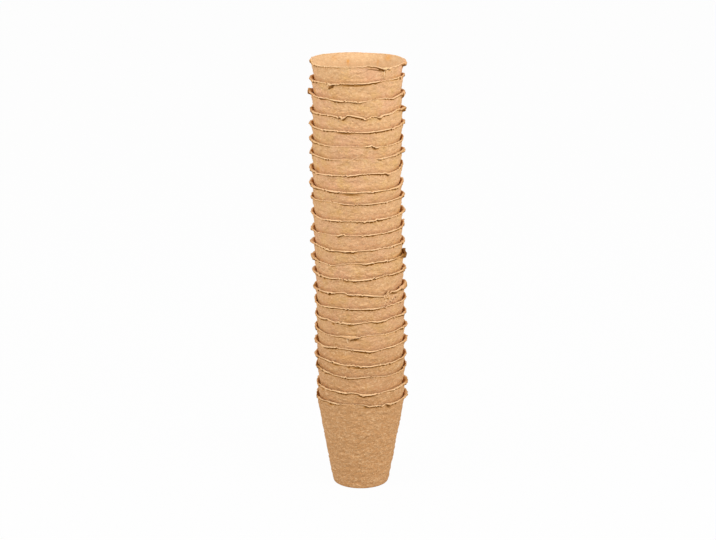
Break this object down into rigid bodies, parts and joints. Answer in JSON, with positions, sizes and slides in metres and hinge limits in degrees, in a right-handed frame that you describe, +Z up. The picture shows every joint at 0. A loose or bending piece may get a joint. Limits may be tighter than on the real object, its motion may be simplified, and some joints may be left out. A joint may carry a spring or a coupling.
{
  "type": "peat pot",
  "caption": "Stack of nested round peat pots in pressed fibre, each a tapered cup with a thin uneven lip, that lift out of one another.",
  "frame": {"origin": "middle of the bottom pot's foot, on the surface that the stack stands on", "axes": "+Z up the stack, -Y towards the front of the pictured view, +X to its right"},
  "size_m": [0.0845, 0.0809, 0.375],
  "materials": {
    "peat_fibre": "matte"
  },
  "bodies": {
    "pot_01": {"pot_01": "peat_fibre"},
    "pot_02": {"pot_02": "peat_fibre"},
    "pot_03": {"pot_03": "peat_fibre"},
    "pot_04": {"pot_04": "peat_fibre"},
    "pot_05": {"pot_05": "peat_fibre"},
    "pot_06": {"pot_06": "peat_fibre"},
    "pot_07": {"pot_07": "peat_fibre"},
    "pot_08": {"pot_08": "peat_fibre"},
    "pot_09": {"pot_09": "peat_fibre"},
    "pot_10": {"pot_10": "peat_fibre"},
    "pot_11": {"pot_11": "peat_fibre"},
    "pot_12": {"pot_12": "peat_fibre"},
    "pot_13": {"pot_13": "peat_fibre"},
    "pot_14": {"pot_14": "peat_fibre"},
    "pot_15": {"pot_15": "peat_fibre"},
    "pot_16": {"pot_16": "peat_fibre"},
    "pot_17": {"pot_17": "peat_fibre"},
    "pot_18": {"pot_18": "peat_fibre"},
    "pot_19": {"pot_19": "peat_fibre"},
    "pot_20": {"pot_20": "peat_fibre"},
    "pot_21": {"pot_21": "peat_fibre"},
    "pot_22": {"pot_22": "peat_fibre"},
    "pot_23": {"pot_23": "peat_fibre"},
    "pot_24": {"pot_24": "peat_fibre"}
  },
  "joints": [
    {"name": "pot_02_lift", "type": "slide", "parent": "pot_01", "child": "pot_02", "axis": [0, 0, 1], "range_m": [0, 0.08]},
    {"name": "pot_03_lift", "type": "slide", "parent": "pot_02", "child": "pot_03", "axis": [0, 0, 1], "range_m": [0, 0.08]},
    {"name": "pot_04_lift", "type": "slide", "parent": "pot_03", "child": "pot_04", "axis": [0, 0, 1], "range_m": [0, 0.08]},
    {"name": "pot_05_lift", "type": "slide", "parent": "pot_04", "child": "pot_05", "axis": [0, 0, 1], "range_m": [0, 0.08]},
    {"name": "pot_06_lift", "type": "slide", "parent": "pot_05", "child": "pot_06", "axis": [0, 0, 1], "range_m": [0, 0.08]},
    {"name": "pot_07_lift", "type": "slide", "parent": "pot_06", "child": "pot_07", "axis": [0, 0, 1], "range_m": [0, 0.08]},
    {"name": "pot_08_lift", "type": "slide", "parent": "pot_07", "child": "pot_08", "axis": [0, 0, 1], "range_m": [0, 0.08]},
    {"name": "pot_09_lift", "type": "slide", "parent": "pot_08", "child": "pot_09", "axis": [0, 0, 1], "range_m": [0, 0.08]},
    {"name": "pot_10_lift", "type": "slide", "parent": "pot_09", "child": "pot_10", "axis": [0, 0, 1], "range_m": [0, 0.08]},
    {"name": "pot_11_lift", "type": "slide", "parent": "pot_10", "child": "pot_11", "axis": [0, 0, 1], "range_m": [0, 0.08]},
    {"name": "pot_12_lift", "type": "slide", "parent": "pot_11", "child": "pot_12", "axis": [0, 0, 1], "range_m": [0, 0.08]},
    {"name": "pot_13_lift", "type": "slide", "parent": "pot_12", "child": "pot_13", "axis": [0, 0, 1], "range_m": [0, 0.08]},
    {"name": "pot_14_lift", "type": "slide", "parent": "pot_13", "child": "pot_14", "axis": [0, 0, 1], "range_m": [0, 0.08]},
    {"name": "pot_15_lift", "type": "slide", "parent": "pot_14", "child": "pot_15", "axis": [0, 0, 1], "range_m": [0, 0.08]},
    {"name": "pot_16_lift", "type": "slide", "parent": "pot_15", "child": "pot_16", "axis": [0, 0, 1], "range_m": [0, 0.08]},
    {"name": "pot_17_lift", "type": "slide", "parent": "pot_16", "child": "pot_17", "axis": [0, 0, 1], "range_m": [0, 0.08]},
    {"name": "pot_18_lift", "type": "slide", "parent": "pot_17", "child": "pot_18", "axis": [0, 0, 1], "range_m": [0, 0.08]},
    {"name": "pot_19_lift", "type": "slide", "parent": "pot_18", "child": "pot_19", "axis": [0, 0, 1], "range_m": [0, 0.08]},
    {"name": "pot_20_lift", "type": "slide", "parent": "pot_19", "child": "pot_20", "axis": [0, 0, 1], "range_m": [0, 0.08]},
    {"name": "pot_21_lift", "type": "slide", "parent": "pot_20", "child": "pot_21", "axis": [0, 0, 1], "range_m": [0, 0.08]},
    {"name": "pot_22_lift", "type": "slide", "parent": "pot_21", "child": "pot_22", "axis": [0, 0, 1], "range_m": [0, 0.08]},
    {"name": "pot_23_lift", "type": "slide", "parent": "pot_22", "child": "pot_23", "axis": [0, 0, 1], "range_m": [0, 0.08]},
    {"name": "pot_24_lift", "type": "slide", "parent": "pot_23", "child": "pot_24", "axis": [0, 0, 1], "range_m": [0, 0.08]}
  ]
}
